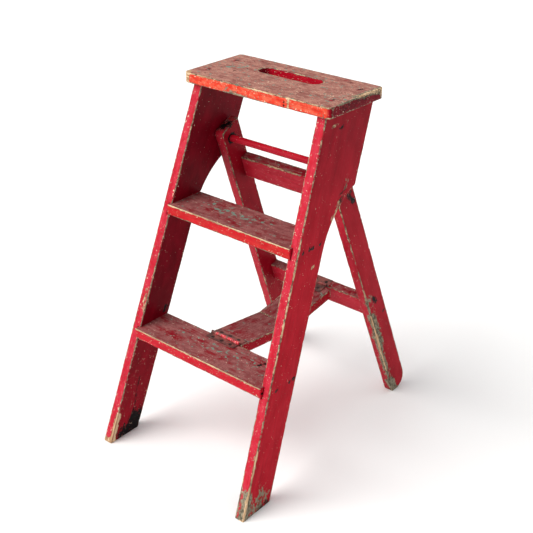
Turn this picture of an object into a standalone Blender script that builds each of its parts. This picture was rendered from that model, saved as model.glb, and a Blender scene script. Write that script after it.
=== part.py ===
"""A folding wooden step stool: a front frame with three steps and a rear frame that swings on a rod.

Frame: metres, +Z up, +X to the right of someone facing the steps, -Y towards that person.
The origin is on the floor, in the middle of the open stool.
The stool stands open. Folding it swings the rear frame forward and lifts the middle of the stay.
"""
import math

import bmesh
import bpy
from mathutils import Matrix, Vector

# Overall sizes
HEIGHT = 0.645
GAP = 0.0003                       # play between pieces that touch
SPLAY = 0.048                      # how far each side spreads outwards per metre of drop
LEAN = math.radians(21.0)          # lean of the rear legs from upright

# Side boards (stiles) of the front frame
STILE_FOOT_HALF_WIDTH = 0.1705     # outer face to the middle plane, at the floor
STILE_THICKNESS = 0.0185
STILE_FRONT_Y = -0.2541            # front edge at the floor
STILE_FRONT_SLOPE = 0.3815         # rearwards travel per metre of rise
LEG_BACK_Y = -0.1865
LEG_BACK_SLOPE = 0.3873
EAR_BACK_Y = -0.1339
EAR_BACK_SLOPE = 0.3922
EAR_BOTTOM_Z = 0.4935
EAR_NOTCH = (0.0528, 0.4906)       # inner end of the small chamfer under the ear (y, z)
CURVE_RADIUS = 0.154               # sweep from the leg's back edge up to the ear
CURVE_START_Z = 0.405
FOOT_ROUND = 0.003

# Steps
TOP_THICKNESS = 0.0183
TOP_HALF_LENGTH = 0.1539
TOP_FRONT_Y = -0.0262
TOP_BACK_Y = 0.1193
TOP_CORNER_RADIUS = 0.009
SLOT_CENTRE_Y = 0.0695
SLOT_HALF_LENGTH = 0.064
SLOT_HALF_WIDTH = 0.0143
STEP_THICKNESS = 0.019
MIDDLE_STEP_Z = 0.4296
MIDDLE_STEP_Y = (-0.0974, -0.0185)
LOWER_STEP_Z = 0.2146
LOWER_STEP_Y = (-0.1813, -0.1043)
HOUSING_DEPTH = 0.006              # how deep the steps sit in the stiles

# Rear frame
PIVOT = (0.0381, 0.5200)           # rod axis (y, z)
ROD_RADIUS = 0.0063
ROD_SOCKET_DEPTH = 0.009
REAR_LEG_HALF_WIDTH = 0.1494       # outer face to the middle plane, at the floor
REAR_LEG_THICKNESS = 0.0195
REAR_LEG_BORE = 0.0070
REAR_LEG_FRONT = 0.0192            # rod axis to the leg's front edge
REAR_LEG_BACK = 0.0258             # rod axis to the leg's back edge
REAR_LEG_TOP = (0.0215, 0.0265)    # rise of the leg's front and back top corners above the rod, along the leg
REAR_LEG_TOP_ROUND = 0.009
REAR_FOOT_ROUND = 0.0245
RAIL_THICKNESS = 0.0186
UPPER_RAIL = (0.0497, 0.0072)      # front top corner, down the leg and back from the rod axis
UPPER_RAIL_HEIGHT = 0.0450
LOWER_RAIL = (0.3297, 0.0062)
LOWER_RAIL_HEIGHT = 0.0410

# Folding stay
STAY_HALF_WIDTH = 0.0362
STAY_THICKNESS = 0.018
STAY_JOINT = (0.0290, 0.1970)      # where the tops of the two boards meet (y, z)
STAY_REAR_SLOPE = math.radians(8.9)
STAY_REAR_LENGTH = 0.1245
STAY_END_GAP = 0.0015              # front board to the lower step
RELIEF_START = 0.087               # underside relief of the rear board, measured from the joint
RELIEF_KNEE = (0.104, 0.0083)      # (distance from the joint, thickness left)
RELIEF_END_THICKNESS = 0.0018

# Butt hinges
KNUCKLE_RADIUS = 0.0028
KNUCKLE_BORE = 0.0015
PIN_RADIUS = 0.0012
PIN_OVERHANG = 0.0008
LEAF_THICKNESS = 0.00125
LEAF_EDGE = 0.0032                 # hinge axis to the straight edge of a leaf
LEAF_WIDTH = 0.0170                # hinge axis to the outer edge of the middle hinge's leaves
AXIS_HEIGHT = KNUCKLE_RADIUS + GAP # hinge axis above the wood
REAR_AXIS_HEIGHT = 0.0024
REAR_AXIS_REACH = 0.1310           # stay joint to the rear hinge axis, along the rear board
FRONT_STEP_LEAF = 0.0160           # hinge axis to the outer edge of a leaf
FRONT_STAY_LEAF = 0.0200
REAR_STAY_LEAF = 0.0235
FRONT_HINGE_LENGTH = 0.064
SMALL_HINGE_LENGTH = 0.045
KNUCKLES = 5
RAIL_RECESS_DEPTH = 0.0016

# Fasteners
NAIL_HEAD_RADIUS = 0.0023
NAIL_HEAD_HEIGHT = 0.0010
NAIL_SHANK_RADIUS = 0.0011
NAIL_LENGTH = 0.038
SCREW_HEAD_RADIUS = 0.0032
SCREW_HEAD_HEIGHT = 0.0019
SCREW_SHANK_RADIUS = 0.0015
SCREW_LENGTH = 0.011
SHORT_SCREW_LENGTH = 0.0036
ROUND_SIDES = 10
MIDDLE_STEP_NAILS_Y = (-0.0812, -0.0648, -0.0570, -0.0375)
LOWER_STEP_NAILS_Y = (-0.1590, -0.1250, -0.1140)
TOP_NAILS_Y = (0.0110, 0.0810)
NAIL_DROP = 0.0095                 # nails sit this far below a step's top

SIDES = {"left": -1, "right": 1}


# ---------------------------------------------------------------- helpers

def clear_scene():
    for item in list(bpy.data.objects):
        bpy.data.objects.remove(item, do_unlink=True)


def make_material(name, colour, roughness, metallic=0.0):
    material = bpy.data.materials.new(name)
    material.use_nodes = True
    shader = material.node_tree.nodes["Principled BSDF"]
    shader.inputs["Base Color"].default_value = (*colour, 1.0)
    shader.inputs["Roughness"].default_value = roughness
    shader.inputs["Metallic"].default_value = metallic
    return material


def add_object(name, mesh_builder, material=None, round_piece=False):
    """Turn a finished bmesh into a named object."""
    bmesh.ops.remove_doubles(mesh_builder, verts=mesh_builder.verts, dist=1e-7)
    bmesh.ops.recalc_face_normals(mesh_builder, faces=mesh_builder.faces)
    mesh = bpy.data.meshes.new(name)
    mesh_builder.to_mesh(mesh)
    mesh_builder.free()
    if round_piece:
        mesh.shade_smooth()
        mesh.set_sharp_from_angle(angle=math.radians(40))
    piece = bpy.data.objects.new(name, mesh)
    bpy.context.scene.collection.objects.link(piece)
    if material:
        mesh.materials.append(material)
    return piece


def prism(mesh_builder, outline, start, end):
    """A prism over an outline of (a, b) points; start and end give a 3-D point for each."""
    near = [mesh_builder.verts.new(start(a, b)) for a, b in outline]
    far = [mesh_builder.verts.new(end(a, b)) for a, b in outline]
    mesh_builder.faces.new(near)
    mesh_builder.faces.new(list(reversed(far)))
    for i in range(len(outline)):
        j = (i + 1) % len(outline)
        mesh_builder.faces.new((near[j], near[i], far[i], far[j]))


def side_view_prism(name, outline, left_x, right_x, material):
    """A board seen from the side: outline points are (y, z), and each end's x depends on height."""
    builder = bmesh.new()
    prism(builder, outline, lambda y, z: (left_x(z), y, z), lambda y, z: (right_x(z), y, z))
    return add_object(name, builder, material)


def arc(centre, radius, start, end, steps):
    """Points of an arc from angle start to angle end, in radians."""
    points = []
    for i in range(steps + 1):
        angle = start + (end - start) * i / steps
        points.append((centre[0] + radius * math.cos(angle), centre[1] + radius * math.sin(angle)))
    return points


def rounded_corner(before, corner, after, radius, steps=4):
    """Arc that replaces a corner of an outline."""
    corner = Vector(corner)
    to_before = (Vector(before) - corner).normalized()
    to_after = (Vector(after) - corner).normalized()
    half = to_before.angle(to_after) / 2
    centre = corner + (to_before + to_after).normalized() * radius / math.sin(half)
    first = corner + to_before * radius / math.tan(half) - centre
    last = corner + to_after * radius / math.tan(half) - centre
    start = math.atan2(first.y, first.x)
    turn = math.atan2(last.y, last.x) - start
    turn = (turn + math.pi) % (2 * math.pi) - math.pi
    return arc(centre, radius, start, start + turn, steps)


def turned(mesh_builder, origin, direction, profile, sides=ROUND_SIDES):
    """A round solid along a line; the profile lists (distance, radius) from end to end."""
    direction = Vector(direction).normalized()
    across = direction.orthogonal().normalized()
    up = direction.cross(across)
    rings = []
    for distance, radius in profile:
        ring = []
        for i in range(sides):
            angle = 2 * math.pi * (i + 0.5) / sides
            offset = across * math.cos(angle) + up * math.sin(angle)
            ring.append(mesh_builder.verts.new(Vector(origin) + direction * distance + offset * radius))
        rings.append(ring)
    mesh_builder.faces.new(rings[0])
    mesh_builder.faces.new(list(reversed(rings[-1])))
    for low, high in zip(rings, rings[1:]):
        for i in range(sides):
            j = (i + 1) % sides
            mesh_builder.faces.new((low[i], high[i], high[j], low[j]))


def cut(piece, cutter):
    """Subtract a hidden cutter from a piece."""
    cutter.hide_render = True
    cutter.display_type = "WIRE"
    modifier = piece.modifiers.new("cut " + cutter.name, "BOOLEAN")
    modifier.operation = "DIFFERENCE"
    modifier.object = cutter


def follow(piece, pivot):
    """Parent a piece to a pivot empty and leave it where it is."""
    bpy.context.view_layer.update()
    piece.parent = pivot
    piece.matrix_parent_inverse = pivot.matrix_world.inverted()


def rotated(point, angle):
    """A (y, z) vector turned by an angle."""
    y, z = point
    return (y * math.cos(angle) - z * math.sin(angle), y * math.sin(angle) + z * math.cos(angle))


def from_line(origin, angle, along, above):
    """The (y, z) point a distance along a sloping line and a distance above it."""
    y, z = rotated((along, above), angle)
    return (origin[0] + y, origin[1] + z)


# ---------------------------------------------------------------- shared geometry

def stile_outer(z):
    return STILE_FOOT_HALF_WIDTH - SPLAY * z


def stile_inner(z):
    return stile_outer(z) - STILE_THICKNESS


def rear_leg_outer(z):
    return REAR_LEG_HALF_WIDTH - SPLAY * z


def rear_leg_inner(z):
    return rear_leg_outer(z) - REAR_LEG_THICKNESS


def stile_front(z):
    return STILE_FRONT_Y + STILE_FRONT_SLOPE * z


# Down along a rear leg, and out through its back edge, as (y, z) directions
LEG_DOWN = (math.sin(LEAN), -math.cos(LEAN))
LEG_BACKWARD = (math.cos(LEAN), math.sin(LEAN))


def on_rear_leg(down, backward):
    """The (y, z) point at distances from the rod along and across a rear leg."""
    return (PIVOT[0] + LEG_DOWN[0] * down + LEG_BACKWARD[0] * backward,
            PIVOT[1] + LEG_DOWN[1] * down + LEG_BACKWARD[1] * backward)


UPPER_RAIL_CORNER = on_rear_leg(*UPPER_RAIL)
LOWER_RAIL_CORNER = on_rear_leg(*LOWER_RAIL)

# Front hinge axis, above the gap between the lower step and the stay
FRONT_AXIS = (LOWER_STEP_Y[1] + 0.0013, LOWER_STEP_Z + AXIS_HEIGHT)
_to_joint = (STAY_JOINT[0] - FRONT_AXIS[0], STAY_JOINT[1] - FRONT_AXIS[1])
STAY_FRONT_SLOPE = math.atan2(_to_joint[1], _to_joint[0]) + math.asin(AXIS_HEIGHT / math.hypot(*_to_joint))
STAY_FRONT_LENGTH = math.hypot(*_to_joint) * math.cos(math.asin(AXIS_HEIGHT / math.hypot(*_to_joint)))
STAY_FRONT_ORIGIN = from_line(FRONT_AXIS, STAY_FRONT_SLOPE, 0, -AXIS_HEIGHT)

# Middle hinge axis, below the joint, on the line that halves the angle between the boards
HALF_DIP = (STAY_REAR_SLOPE - STAY_FRONT_SLOPE) / 2
MIDDLE_AXIS = from_line(STAY_JOINT, (STAY_REAR_SLOPE + STAY_FRONT_SLOPE) / 2,
                        0, -(STAY_THICKNESS + AXIS_HEIGHT) / math.cos(HALF_DIP))

# Rear hinge axis, in the gap between the stay and the lower rail
REAR_AXIS = from_line(STAY_JOINT, STAY_REAR_SLOPE, REAR_AXIS_REACH, REAR_AXIS_HEIGHT)


# ---------------------------------------------------------------- front frame

def stile_outline():
    """Side outline: straight front edge, a leg below and a wide ear above, joined by a sweep."""
    top = HEIGHT - TOP_THICKNESS - GAP
    leg_angle = math.atan2(1, LEG_BACK_SLOPE)
    start = (LEG_BACK_Y + LEG_BACK_SLOPE * CURVE_START_Z, CURVE_START_Z)
    centre = from_line(start, leg_angle, 0, -CURVE_RADIUS)
    first = math.atan2(start[1] - centre[1], start[0] - centre[0])
    last = math.atan2(EAR_NOTCH[1] - centre[1], EAR_NOTCH[0] - centre[0])
    front_foot = (STILE_FRONT_Y, 0)
    back_foot = (LEG_BACK_Y, 0)
    front_top = (stile_front(top), top)
    outline = rounded_corner(front_top, front_foot, back_foot, FOOT_ROUND, 2)
    outline += rounded_corner(front_foot, back_foot, start, FOOT_ROUND, 2)
    outline += arc(centre, CURVE_RADIUS, first, last, 10)[:-1]
    outline.append(EAR_NOTCH)
    outline.append((EAR_BACK_Y + EAR_BACK_SLOPE * EAR_BOTTOM_Z, EAR_BOTTOM_Z))
    outline.append((EAR_BACK_Y + EAR_BACK_SLOPE * top, top))
    outline.append(front_top)
    return outline


def step_housing(side, top, name):
    """Cutter for the groove that holds one end of a step."""
    reach = 0.12
    middle = stile_front(top)
    low = top - STEP_THICKNESS - GAP
    high = top + GAP
    outline = [(middle - reach, low), (middle + reach, low), (middle + reach, high), (middle - reach, high)]
    builder = bmesh.new()
    prism(builder, outline,
          lambda y, z: (side * (stile_inner(z) + HOUSING_DEPTH), y, z),
          lambda y, z: (side * (stile_inner(z) - 0.02), y, z))
    return add_object(name, builder)


def build_stile(side_name, paint):
    side = SIDES[side_name]
    stile = side_view_prism("stile_" + side_name, stile_outline(),
                            lambda z: side * stile_outer(z), lambda z: side * stile_inner(z), paint)
    cut(stile, step_housing(side, MIDDLE_STEP_Z, "middle_housing_" + side_name))
    cut(stile, step_housing(side, LOWER_STEP_Z, "lower_housing_" + side_name))
    builder = bmesh.new()
    socket_end = stile_inner(PIVOT[1]) + ROD_SOCKET_DEPTH
    turned(builder, (side * (socket_end - 0.03), *PIVOT), (side, 0, 0),
           [(0, ROD_RADIUS + GAP), (0.03, ROD_RADIUS + GAP)], 24)
    cut(stile, add_object("rod_socket_" + side_name, builder))
    return stile


def build_step(name, top, y_range, paint):
    """A step between the stiles; its ends follow their splay and sit in the housings."""
    end = HOUSING_DEPTH - GAP
    outline = [(y_range[0], top - STEP_THICKNESS), (y_range[1], top - STEP_THICKNESS),
               (y_range[1], top), (y_range[0], top)]
    return side_view_prism(name, outline,
                           lambda z: -stile_inner(z) - end, lambda z: stile_inner(z) + end, paint)


def build_top_board(paint):
    corners = [(-TOP_HALF_LENGTH, TOP_FRONT_Y), (TOP_HALF_LENGTH, TOP_FRONT_Y),
               (TOP_HALF_LENGTH, TOP_BACK_Y), (-TOP_HALF_LENGTH, TOP_BACK_Y)]
    outline = []
    for i, corner in enumerate(corners):
        outline += rounded_corner(corners[i - 1], corner, corners[(i + 1) % 4], TOP_CORNER_RADIUS, 3)
    builder = bmesh.new()
    prism(builder, outline, lambda x, y: (x, y, HEIGHT - TOP_THICKNESS), lambda x, y: (x, y, HEIGHT))
    board = add_object("top_board", builder, paint)

    reach = SLOT_HALF_LENGTH - SLOT_HALF_WIDTH
    slot = arc((reach, SLOT_CENTRE_Y), SLOT_HALF_WIDTH, -math.pi / 2, math.pi / 2, 6)
    slot += arc((-reach, SLOT_CENTRE_Y), SLOT_HALF_WIDTH, math.pi / 2, 3 * math.pi / 2, 6)
    builder = bmesh.new()
    prism(builder, slot, lambda x, y: (x, y, HEIGHT - 0.05), lambda x, y: (x, y, HEIGHT + 0.02))
    cut(board, add_object("hand_slot", builder))
    return board


def build_rod(paint):
    half = stile_inner(PIVOT[1]) + ROD_SOCKET_DEPTH - GAP
    builder = bmesh.new()
    turned(builder, (-half, *PIVOT), (1, 0, 0), [(0, ROD_RADIUS), (2 * half, ROD_RADIUS)], 24)
    return add_object("pivot_rod", builder, paint, round_piece=True)


# ---------------------------------------------------------------- rear frame

def rear_leg_outline():
    """Side outline of a rear leg: square-cut rounded top, rounded back corner at the foot."""
    top_front = on_rear_leg(-REAR_LEG_TOP[0], -REAR_LEG_FRONT)
    top_back = on_rear_leg(-REAR_LEG_TOP[1], REAR_LEG_BACK)
    drop = PIVOT[1] / math.cos(LEAN)
    foot_front = on_rear_leg(drop - REAR_LEG_FRONT * math.tan(LEAN), -REAR_LEG_FRONT)
    foot_back = on_rear_leg(drop + REAR_LEG_BACK * math.tan(LEAN), REAR_LEG_BACK)
    outline = [foot_front]
    outline += rounded_corner(foot_front, foot_back, top_back, REAR_FOOT_ROUND, 6)
    outline.append(top_back)
    outline += rounded_corner(top_back, top_front, foot_front, REAR_LEG_TOP_ROUND, 4)
    return outline


def build_rear_leg(side_name, paint):
    side = SIDES[side_name]
    leg = side_view_prism("rear_leg_" + side_name, rear_leg_outline(),
                          lambda z: side * rear_leg_outer(z), lambda z: side * rear_leg_inner(z), paint)
    builder = bmesh.new()
    turned(builder, (side * 0.08, *PIVOT), (side, 0, 0), [(0, REAR_LEG_BORE), (0.08, REAR_LEG_BORE)], 24)
    cut(leg, add_object("rod_hole_" + side_name, builder))
    return leg


def build_rail(name, corner, height, paint):
    """A rail on edge between the rear legs, square to them and flush with their back edges."""
    along = (LEG_DOWN[0] * height, LEG_DOWN[1] * height)
    across = (LEG_BACKWARD[0] * RAIL_THICKNESS, LEG_BACKWARD[1] * RAIL_THICKNESS)
    outline = [corner,
               (corner[0] + along[0], corner[1] + along[1]),
               (corner[0] + along[0] + across[0], corner[1] + along[1] + across[1]),
               (corner[0] + across[0], corner[1] + across[1])]
    return side_view_prism(name, outline,
                           lambda z: GAP - rear_leg_inner(z), lambda z: rear_leg_inner(z) - GAP, paint)


def cut_rail_recess(rail):
    """A shallow notch across the top of the lower rail, which takes the hinge leaf."""
    half = SMALL_HINGE_LENGTH / 2 + GAP
    angle = LEAN
    outline = [from_line(LOWER_RAIL_CORNER, angle, -0.005, -RAIL_RECESS_DEPTH),
               from_line(LOWER_RAIL_CORNER, angle, RAIL_THICKNESS + 0.005, -RAIL_RECESS_DEPTH),
               from_line(LOWER_RAIL_CORNER, angle, RAIL_THICKNESS + 0.005, 0.005),
               from_line(LOWER_RAIL_CORNER, angle, -0.005, 0.005)]
    builder = bmesh.new()
    prism(builder, outline, lambda y, z: (-half, y, z), lambda y, z: (half, y, z))
    cut(rail, add_object("rail_recess", builder))


# ---------------------------------------------------------------- folding stay

def stay_front_outline():
    """Front board: a small gap at the step, and a bevelled end that butts at the joint."""
    bevel = STAY_THICKNESS * math.tan(HALF_DIP)
    local = [(STAY_END_GAP, -STAY_THICKNESS), (STAY_FRONT_LENGTH + bevel - GAP, -STAY_THICKNESS),
             (STAY_FRONT_LENGTH - GAP, 0), (STAY_END_GAP, 0)]
    return [from_line(STAY_FRONT_ORIGIN, STAY_FRONT_SLOPE, a, b) for a, b in local]


def stay_rear_outline():
    """Rear board: bevelled at the joint, and relieved underneath where it passes over the rail."""
    bevel = STAY_THICKNESS * math.tan(HALF_DIP)
    local = [(GAP - bevel, -STAY_THICKNESS), (RELIEF_START, -STAY_THICKNESS),
             (RELIEF_KNEE[0], -RELIEF_KNEE[1]), (STAY_REAR_LENGTH, -RELIEF_END_THICKNESS),
             (STAY_REAR_LENGTH, 0), (GAP, 0)]
    return [from_line(STAY_JOINT, STAY_REAR_SLOPE, a, b) for a, b in local]


def build_stay_board(name, outline, paint):
    return side_view_prism(name, outline, lambda z: -STAY_HALF_WIDTH, lambda z: STAY_HALF_WIDTH, paint)


# ---------------------------------------------------------------- hinges

def hinge_frame(axis, leaf_direction, outward):
    """Placement of a hinge part: origin on the axis, +Y along the leaf, +Z away from the wood."""
    along = Vector((0, *leaf_direction)).normalized()
    out = Vector((0, *outward)).normalized()
    across = along.cross(out)
    frame = Matrix((across, along, out)).transposed().to_4x4()
    frame.translation = Vector((0, *axis))
    return frame


def knuckle_spans(length, own):
    """The x ranges of a leaf's own knuckles; the other leaf has those between them."""
    width = length / KNUCKLES
    return [(-length / 2 + i * width + GAP, -length / 2 + (i + 1) * width - GAP) for i in own]


def build_leaf(name, frame, length, own, low, outer, metal):
    """A leaf with its knuckles: the flat part lies from LEAF_EDGE to outer, its underside at low."""
    high = low + LEAF_THICKNESS
    spans = knuckle_spans(length, own)
    stops = sorted({-length / 2, length / 2}.union(*spans))
    barrel = arc((0, 0), KNUCKLE_RADIUS, math.asin(high / KNUCKLE_RADIUS),
                 2 * math.pi + math.asin(max(low / KNUCKLE_RADIUS, -1)), 14)
    builder = bmesh.new()
    vertex = lambda x, a, b: builder.verts.new(frame @ Vector((x, a, b)))
    top = [vertex(x, LEAF_EDGE, high) for x in stops]
    bottom = [vertex(x, LEAF_EDGE, low) for x in stops]
    outer_top = [vertex(x, outer, high) for x in (stops[0], stops[-1])]
    outer_bottom = [vertex(x, outer, low) for x in (stops[0], stops[-1])]
    builder.faces.new(top + outer_top[::-1])
    builder.faces.new(bottom + outer_bottom[::-1])
    builder.faces.new((outer_top[0], outer_top[1], outer_bottom[1], outer_bottom[0]))
    builder.faces.new((top[0], outer_top[0], outer_bottom[0], bottom[0]))
    builder.faces.new((top[-1], outer_top[1], outer_bottom[1], bottom[-1]))
    for i in range(len(stops) - 1):
        if (stops[i], stops[i + 1]) not in spans:
            builder.faces.new((top[i], top[i + 1], bottom[i + 1], bottom[i]))
            continue
        near = [top[i]] + [vertex(stops[i], a, b) for a, b in barrel] + [bottom[i]]
        far = [top[i + 1]] + [vertex(stops[i + 1], a, b) for a, b in barrel] + [bottom[i + 1]]
        builder.faces.new(near)
        builder.faces.new(far)
        for j in range(len(near) - 1):
            builder.faces.new((near[j], near[j + 1], far[j + 1], far[j]))
    return add_object(name, builder, metal, round_piece=True)


def pin_bore(name, axis, length):
    builder = bmesh.new()
    turned(builder, (-length / 2 - 0.01, *axis), (1, 0, 0),
           [(0, KNUCKLE_BORE), (length + 0.02, KNUCKLE_BORE)], 12)
    return add_object(name, builder)


def build_pin(name, axis, length, metal):
    half = length / 2 + PIN_OVERHANG
    builder = bmesh.new()
    turned(builder, (-half, *axis), (1, 0, 0), [(0, PIN_RADIUS), (2 * half, PIN_RADIUS)], 12)
    return add_object(name, builder, metal, round_piece=True)


def screw_holes(name, frame, stations, reach, plate_top, screw_length):
    """Cutter for a row of countersunk holes through a plate and into the wood."""
    builder = bmesh.new()
    down = frame.to_3x3() @ Vector((0, 0, -1))
    profile = [(-0.001, SCREW_HEAD_RADIUS + GAP), (0.0002, SCREW_HEAD_RADIUS + GAP),
               (SCREW_HEAD_HEIGHT, SCREW_SHANK_RADIUS + GAP), (screw_length + 0.0004, SCREW_SHANK_RADIUS + GAP)]
    for x in stations:
        turned(builder, frame @ Vector((x, reach, plate_top)), down, profile)
    return add_object(name, builder)


def build_screws(name, frame, stations, reach, plate_top, screw_length, metal):
    """Countersunk screws with their heads flush in a plate."""
    down = frame.to_3x3() @ Vector((0, 0, -1))
    profile = [(0, SCREW_HEAD_RADIUS), (0.0002, SCREW_HEAD_RADIUS),
               (SCREW_HEAD_HEIGHT, SCREW_SHANK_RADIUS), (screw_length, SCREW_SHANK_RADIUS)]
    screws = []
    for i, x in enumerate(stations):
        builder = bmesh.new()
        turned(builder, frame @ Vector((x, reach, plate_top)), down, profile)
        screws.append(add_object(f"{name}_{i + 1}", builder, metal, round_piece=True))
    return screws


def build_plate(name, wood, frame, length, own, outer, stations, bore, metal, low=-KNUCKLE_RADIUS,
                screw_length=SCREW_LENGTH):
    """A screwed-down leaf with knuckles; returns the plate and its screws."""
    plate = build_leaf(name + "_plate", frame, length, own, low, outer, metal)
    reach = (LEAF_EDGE + outer) / 2 + 0.0008
    plate_top = low + LEAF_THICKNESS
    holes = screw_holes(name + "_holes", frame, stations, reach, plate_top, screw_length)
    cut(plate, bore)
    cut(plate, holes)
    cut(wood, holes)
    return [plate] + build_screws(name + "_screw", frame, stations, reach, plate_top, screw_length, metal)


def build_front_hinge(step, board, metal):
    """Joins the stay to the lower step, on top of both."""
    stations = (-0.020, 0.0, 0.020)
    bore = pin_bore("front_hinge_bore", FRONT_AXIS, FRONT_HINGE_LENGTH)
    step_side = hinge_frame(FRONT_AXIS, (-1, 0), (0, 1))
    stay_side = hinge_frame(FRONT_AXIS, rotated((1, 0), STAY_FRONT_SLOPE), rotated((0, 1), STAY_FRONT_SLOPE))
    fixed = build_plate("front_hinge_step", step, step_side, FRONT_HINGE_LENGTH, (0, 2, 4),
                        FRONT_STEP_LEAF, stations, bore, metal)
    moving = build_plate("front_hinge_stay", board, stay_side, FRONT_HINGE_LENGTH, (1, 3),
                         FRONT_STAY_LEAF, stations, bore, metal)
    fixed.append(build_pin("front_hinge_pin", FRONT_AXIS, FRONT_HINGE_LENGTH, metal))
    return fixed, moving


def build_middle_hinge(front_board, rear_board, metal):
    """Joins the two stay boards, underneath them."""
    stations = (-0.0125, 0.0125)
    bore = pin_bore("middle_hinge_bore", MIDDLE_AXIS, SMALL_HINGE_LENGTH)
    front_side = hinge_frame(MIDDLE_AXIS, rotated((-1, 0), STAY_FRONT_SLOPE), rotated((0, -1), STAY_FRONT_SLOPE))
    rear_side = hinge_frame(MIDDLE_AXIS, rotated((1, 0), STAY_REAR_SLOPE), rotated((0, -1), STAY_REAR_SLOPE))
    front = build_plate("middle_hinge_front", front_board, front_side, SMALL_HINGE_LENGTH, (0, 2, 4),
                        LEAF_WIDTH, stations, bore, metal)
    rear = build_plate("middle_hinge_rear", rear_board, rear_side, SMALL_HINGE_LENGTH, (1, 3),
                       LEAF_WIDTH, stations, bore, metal)
    front.append(build_pin("middle_hinge_pin", MIDDLE_AXIS, SMALL_HINGE_LENGTH, metal))
    return front, rear


def build_rear_hinge(board, rail, metal):
    """Joins the stay to the lower rail: a leaf on the board, and a plate let into the rail's top."""
    stations = (-0.0125, 0.0125)
    bore = pin_bore("rear_hinge_bore", REAR_AXIS, SMALL_HINGE_LENGTH)
    board_side = hinge_frame(REAR_AXIS, rotated((-1, 0), STAY_REAR_SLOPE), rotated((0, 1), STAY_REAR_SLOPE))
    stay = build_plate("rear_hinge_stay", board, board_side, SMALL_HINGE_LENGTH, range(KNUCKLES),
                       REAR_STAY_LEAF, stations, bore, metal, GAP - REAR_AXIS_HEIGHT, SHORT_SCREW_LENGTH)
    stay.append(build_pin("rear_hinge_pin", REAR_AXIS, SMALL_HINGE_LENGTH, metal))

    cut_rail_recess(rail)
    low = GAP - RAIL_RECESS_DEPTH
    high = low + LEAF_THICKNESS
    outline = [from_line(LOWER_RAIL_CORNER, LEAN, a, b)
               for a, b in ((0.0004, low), (RAIL_THICKNESS, low), (RAIL_THICKNESS, high), (0.0004, high))]
    half = SMALL_HINGE_LENGTH / 2
    plate = side_view_prism("rear_hinge_rail_plate", outline, lambda z: -half, lambda z: half, metal)
    rail_side = hinge_frame(LOWER_RAIL_CORNER, LEG_BACKWARD, rotated((0, 1), LEAN))
    holes = screw_holes("rear_hinge_rail_holes", rail_side, stations, RAIL_THICKNESS / 2, high, SCREW_LENGTH)
    cut(plate, holes)
    cut(rail, holes)
    screws = build_screws("rear_hinge_rail_screw", rail_side, stations, RAIL_THICKNESS / 2, high,
                          SCREW_LENGTH, metal)
    return stay, [plate] + screws


# ---------------------------------------------------------------- nails

def nail_profile(play):
    """Head just below the surface, then the shank; a positive play gives the hole instead."""
    start = -0.001 if play else 0.0002
    neck = NAIL_HEAD_HEIGHT + play
    return [(start, NAIL_HEAD_RADIUS + play), (neck, NAIL_HEAD_RADIUS + play),
            (neck + 0.0001, NAIL_SHANK_RADIUS + play), (NAIL_LENGTH + play, NAIL_SHANK_RADIUS + play)]


def drive_nails(name, places, direction, pieces, metal):
    """Nails through one piece into another, with a hole for each in both."""
    builder = bmesh.new()
    for place in places:
        turned(builder, place, direction, nail_profile(GAP))
    holes = add_object(name + "_holes", builder)
    for piece in pieces:
        cut(piece, holes)
    nails = []
    for i, place in enumerate(places):
        builder = bmesh.new()
        turned(builder, place, direction, nail_profile(0))
        nails.append(add_object(f"{name}_nail_{i + 1}", builder, metal, round_piece=True))
    return nails


def nail_step(step_name, side_name, top, stations, stile, step, metal):
    """Nails through the outer face of a stile into the end of a step."""
    side = SIDES[side_name]
    z = top - NAIL_DROP
    places = [(side * stile_outer(z), y, z) for y in stations]
    return drive_nails(f"{step_name}_{side_name}", places, (-side, 0, -SPLAY), (stile, step), metal)


def nail_top(side_name, top_board, stile, metal):
    """Nails down through the top board into the end grain of a stile."""
    side = SIDES[side_name]
    z = HEIGHT - TOP_THICKNESS
    x = side * (stile_outer(z) + stile_inner(z)) / 2
    places = [(x, y, HEIGHT) for y in TOP_NAILS_Y]
    return drive_nails("top_" + side_name, places, (side * SPLAY, 0, -1), (top_board, stile), metal)


def nail_rail(rail_name, side_name, corner, distances, leg, rail, metal):
    """Nails through the outer face of a rear leg into the end of a rail."""
    side = SIDES[side_name]
    places = []
    for distance in distances:
        y = corner[0] + LEG_DOWN[0] * distance + LEG_BACKWARD[0] * RAIL_THICKNESS / 2
        z = corner[1] + LEG_DOWN[1] * distance + LEG_BACKWARD[1] * RAIL_THICKNESS / 2
        places.append((side * rear_leg_outer(z), y, z))
    return drive_nails(f"{rail_name}_{side_name}", places, (-side, 0, -SPLAY), (leg, rail), metal)


# ---------------------------------------------------------------- assembly

def add_pivot(name, place, parent=None):
    pivot = bpy.data.objects.new(name, None)
    pivot.location = (0, *place)
    bpy.context.scene.collection.objects.link(pivot)
    if parent:
        follow(pivot, parent)
    return pivot


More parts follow.
